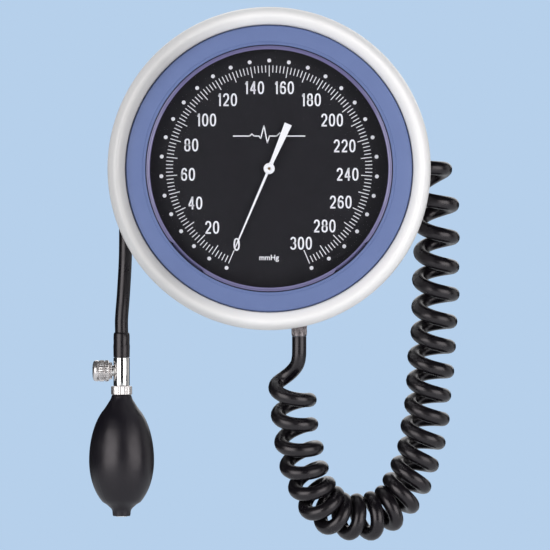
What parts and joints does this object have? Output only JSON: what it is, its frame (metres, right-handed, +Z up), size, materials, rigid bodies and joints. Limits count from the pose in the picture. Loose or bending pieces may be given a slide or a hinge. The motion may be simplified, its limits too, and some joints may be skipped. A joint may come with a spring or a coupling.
{
  "type": "wall-mounted aneroid blood pressure gauge",
  "caption": "Wall aneroid sphygmomanometer: round dial head on a cuff basket, coiled hose, hand bulb with a release valve.",
  "frame": {"origin": "centre of the wall plate's back face, on the dial's axis", "axes": "+Z up, the dial faces -Y, the wall is the plane y = 0 and +Y points into it"},
  "size_m": [0.2296, 0.1115, 0.3284],
  "materials": {
    "case_white": "satin moulded white",
    "rim_white": "satin moulded white, slightly warm",
    "bezel_blue": "fine-textured matt blue",
    "clear_lens": "clear polished acrylic",
    "dial_black": "matt black with white printing",
    "pointer_white": "white enamel",
    "black_plastic": "matt black",
    "black_rubber": "matt black",
    "bulb_rubber": "matt black moulded rubber",
    "hose_rubber": "semi-matt black",
    "chrome_plate": "polished chrome plate",
    "screw_steel": "zinc-bright steel",
    "movement_brass": "machined brass",
    "capsule_bronze": "phosphor bronze",
    "cuff_fabric": "dark blue woven nylon"
  },
  "bodies": {
    "frame": {"wall_plate": "case_white", "cuff_basket": "case_white", "head_boss": "case_white", "case_back": "case_white", "front_rim": "rim_white", "blue_bezel": "bezel_blue", "lens": "clear_lens", "lens_gasket": "black_rubber", "dial_spacer": "black_plastic", "dial_plate": "dial_black", "movement_base": "movement_brass", "movement_bridge": "movement_brass", "bridge_pillar_1": "movement_brass", "bridge_pillar_2": "movement_brass", "bridge_screw_1": "screw_steel", "bridge_screw_2": "screw_steel", "base_screw_1": "screw_steel", "base_screw_2": "screw_steel", "basket_screw_left": "screw_steel", "basket_screw_right": "screw_steel", "head_screw_1": "screw_steel", "head_screw_2": "screw_steel", "head_screw_3": "screw_steel", "diaphragm_capsule": "capsule_bronze", "capsule_tube": "black_rubber", "rocker_bearing_left": "movement_brass", "rocker_bearing_right": "movement_brass", "sector_pin": "screw_steel", "hairspring": "capsule_bronze", "gauge_luer_socket": "chrome_plate", "coil_hose_barb": "chrome_plate", "coil_hose_lead": "hose_rubber", "coil_hose": "hose_rubber", "coil_hose_tail": "hose_rubber", "bulb_hose": "hose_rubber", "hose_end_sleeve": "hose_rubber", "cuff_connector_left": "chrome_plate", "cuff_connector_right": "chrome_plate", "cuff_port_left": "hose_rubber", "cuff_port_right": "hose_rubber", "cuff_roll": "cuff_fabric", "valve_body": "chrome_plate", "valve_collar": "chrome_plate", "rubber_bulb": "bulb_rubber", "bulb_end_valve": "chrome_plate"},
    "sector": {"sector_gear": "movement_brass"},
    "pointer": {"pinion_arbor": "movement_brass", "pointer": "pointer_white"},
    "rocker": {"rocker_shaft": "screw_steel"},
    "capsule_stud": {"capsule_stud": "screw_steel"},
    "luer_collar": {"luer_lock_collar": "chrome_plate"},
    "valve_needle": {"valve_needle": "screw_steel"},
    "release_knob": {"release_knob": "chrome_plate"},
    "outlet_disc": {"outlet_check_disc": "black_rubber"},
    "inlet_disc": {"inlet_check_disc": "black_rubber"}
  },
  "joints": [
    {"name": "sector_turn", "type": "hinge", "parent": "frame", "child": "sector", "pos_m": [0, -0.08815, 0.027], "axis": [0, -1, 0], "range_deg": [0, 39.2], "stiffness_Nm_per_rad": 0.004, "springref_deg": -17.19},
    {"name": "pointer_turn", "type": "hinge", "parent": "frame", "child": "pointer", "pos_m": [0, -0.08815, 0], "axis": [0, 1, 0], "range_deg": [0, 313.7]},
    {"name": "rocker_turn", "type": "hinge", "parent": "frame", "child": "rocker", "pos_m": [0, -0.079, 0.0242], "axis": [-1, 0, 0], "range_deg": [0, 23.3]},
    {"name": "stud_slide", "type": "slide", "parent": "frame", "child": "capsule_stud", "axis": [0, -1, 0], "range_m": [0, 0.00182]},
    {"name": "collar_turn", "type": "hinge", "parent": "frame", "child": "luer_collar", "pos_m": [0.0185, -0.0785, -0.0965], "axis": [0, 0, 1], "range_deg": [0, 90]},
    {"name": "needle_slide", "type": "slide", "parent": "frame", "child": "valve_needle", "axis": [-1, 0, 0], "range_m": [0, 0.00075]},
    {"name": "release_knob_turn", "type": "hinge", "parent": "valve_needle", "child": "release_knob", "pos_m": [-0.1035, -0.04, -0.1246], "axis": [-1, 0, 0], "range_deg": [0, 360]},
    {"name": "outlet_disc_lift", "type": "slide", "parent": "frame", "child": "outlet_disc", "axis": [0, 0, 1], "range_m": [0, 0.0008]},
    {"name": "inlet_disc_lift", "type": "slide", "parent": "frame", "child": "inlet_disc", "axis": [0, 0, 1], "range_m": [0, 0.0008]}
  ],
  "couplings": [
    {"joint": "pointer_turn", "follows": "sector_turn", "ratio": 8},
    {"joint": "rocker_turn", "follows": "sector_turn", "ratio": 0.5918},
    {"joint": "stud_slide", "follows": "sector_turn", "m_per_rad": 0.002645},
    {"joint": "release_knob_turn", "follows": "needle_slide", "rad_per_m": 8377.6}
  ]
}
